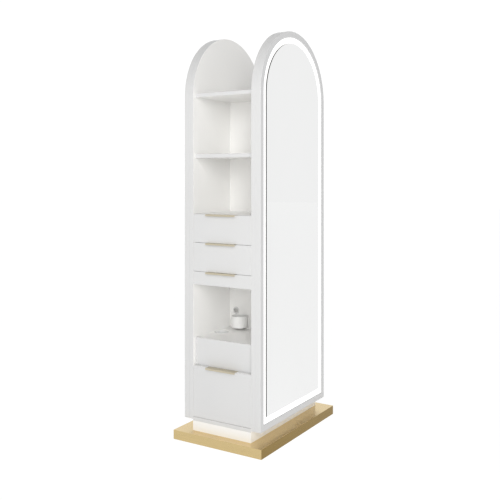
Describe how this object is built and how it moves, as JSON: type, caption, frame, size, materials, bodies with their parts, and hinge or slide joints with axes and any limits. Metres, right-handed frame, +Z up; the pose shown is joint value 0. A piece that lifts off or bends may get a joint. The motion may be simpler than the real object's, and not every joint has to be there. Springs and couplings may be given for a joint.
{
  "type": "salon styling station",
  "caption": "Double-sided salon styling station: tall arched lit mirrors back to back, with shelves, an open tool niche and drawers between them on a gold platform.",
  "frame": {"origin": "centre of the platform's underside, at floor level", "axes": "+Z up, X along the mirrors (the drawers at the front end face -X and those at the rear end +X), mirrors facing -Y and +Y"},
  "size_m": [0.75, 0.5, 1.9998],
  "materials": {
    "white_board": "white lacquered board, satin",
    "white_frame": "white lacquered moulded frame, satin",
    "drawer_board": "white melamine faced board, fine pebbled",
    "timber_core": "raw fibreboard",
    "gold_sheet": "gold coloured brushed sheet",
    "gold_pull": "gold anodised, brushed along its length",
    "opal_diffuser": "opal, lit from behind",
    "mirror_glass": "silvered float glass, polished edge",
    "led_strip": "white flexible strip with LED chips",
    "dark_plastic": "black moulded plastic",
    "glide_rubber": "black rubber pads",
    "white_plastic": "white moulded plastic",
    "well_steel": "white enamelled steel",
    "grey_plastic": "light grey moulded plastic",
    "runner_steel": "zinc plated steel"
  },
  "bodies": {
    "cabinet": {"base_cover": "gold_sheet", "base_core": "timber_core", "base_glides": "glide_rubber", "plinth": "white_board", "carcass_boards": "white_board", "divider": "white_board", "near_side_board": "white_board", "far_side_board": "white_board", "near_mirror_frame": "white_frame", "far_mirror_frame": "white_frame", "near_light_diffuser": "opal_diffuser", "far_light_diffuser": "opal_diffuser", "near_mirror_glass": "mirror_glass", "far_mirror_glass": "mirror_glass", "mirror_backers": "timber_core", "led_strips": "led_strip", "led_drivers": "dark_plastic", "power_inlet": "dark_plastic", "top_board": "white_board", "middle_shelves": "white_board", "counter_boards": "white_board", "tool_decks": "white_board", "tool_fronts": "white_board", "tool_wells": "well_steel", "dryer_holders": "white_plastic", "cable_grommets": "grey_plastic", "cabinet_runners": "runner_steel", "assembly_screws": "runner_steel"},
    "front_upper_drawer": {"front_upper_face": "white_board", "front_upper_box": "drawer_board", "front_upper_pull": "gold_pull", "front_upper_slides": "runner_steel"},
    "front_middle_drawer": {"front_middle_face": "white_board", "front_middle_box": "drawer_board", "front_middle_pull": "gold_pull", "front_middle_slides": "runner_steel"},
    "front_shallow_drawer": {"front_shallow_face": "white_board", "front_shallow_box": "drawer_board", "front_shallow_pull": "gold_pull", "front_shallow_slides": "runner_steel"},
    "front_deep_drawer": {"front_deep_face": "white_board", "front_deep_box": "drawer_board", "front_deep_pull": "gold_pull", "front_deep_slides": "runner_steel"},
    "rear_upper_drawer": {"rear_upper_face": "white_board", "rear_upper_box": "drawer_board", "rear_upper_pull": "gold_pull", "rear_upper_slides": "runner_steel"},
    "rear_middle_drawer": {"rear_middle_face": "white_board", "rear_middle_box": "drawer_board", "rear_middle_pull": "gold_pull", "rear_middle_slides": "runner_steel"},
    "rear_shallow_drawer": {"rear_shallow_face": "white_board", "rear_shallow_box": "drawer_board", "rear_shallow_pull": "gold_pull", "rear_shallow_slides": "runner_steel"},
    "rear_deep_drawer": {"rear_deep_face": "white_board", "rear_deep_box": "drawer_board", "rear_deep_pull": "gold_pull", "rear_deep_slides": "runner_steel"}
  },
  "joints": [
    {"name": "front_upper_slide", "type": "slide", "parent": "cabinet", "child": "front_upper_drawer", "axis": [-1, 0, 0], "range_m": [0, 0.19]},
    {"name": "front_middle_slide", "type": "slide", "parent": "cabinet", "child": "front_middle_drawer", "axis": [-1, 0, 0], "range_m": [0, 0.19]},
    {"name": "front_shallow_slide", "type": "slide", "parent": "cabinet", "child": "front_shallow_drawer", "axis": [-1, 0, 0], "range_m": [0, 0.19]},
    {"name": "front_deep_slide", "type": "slide", "parent": "cabinet", "child": "front_deep_drawer", "axis": [-1, 0, 0], "range_m": [0, 0.19]},
    {"name": "rear_upper_slide", "type": "slide", "parent": "cabinet", "child": "rear_upper_drawer", "axis": [1, 0, 0], "range_m": [0, 0.19]},
    {"name": "rear_middle_slide", "type": "slide", "parent": "cabinet", "child": "rear_middle_drawer", "axis": [1, 0, 0], "range_m": [0, 0.19]},
    {"name": "rear_shallow_slide", "type": "slide", "parent": "cabinet", "child": "rear_shallow_drawer", "axis": [1, 0, 0], "range_m": [0, 0.19]},
    {"name": "rear_deep_slide", "type": "slide", "parent": "cabinet", "child": "rear_deep_drawer", "axis": [1, 0, 0], "range_m": [0, 0.19]}
  ]
}
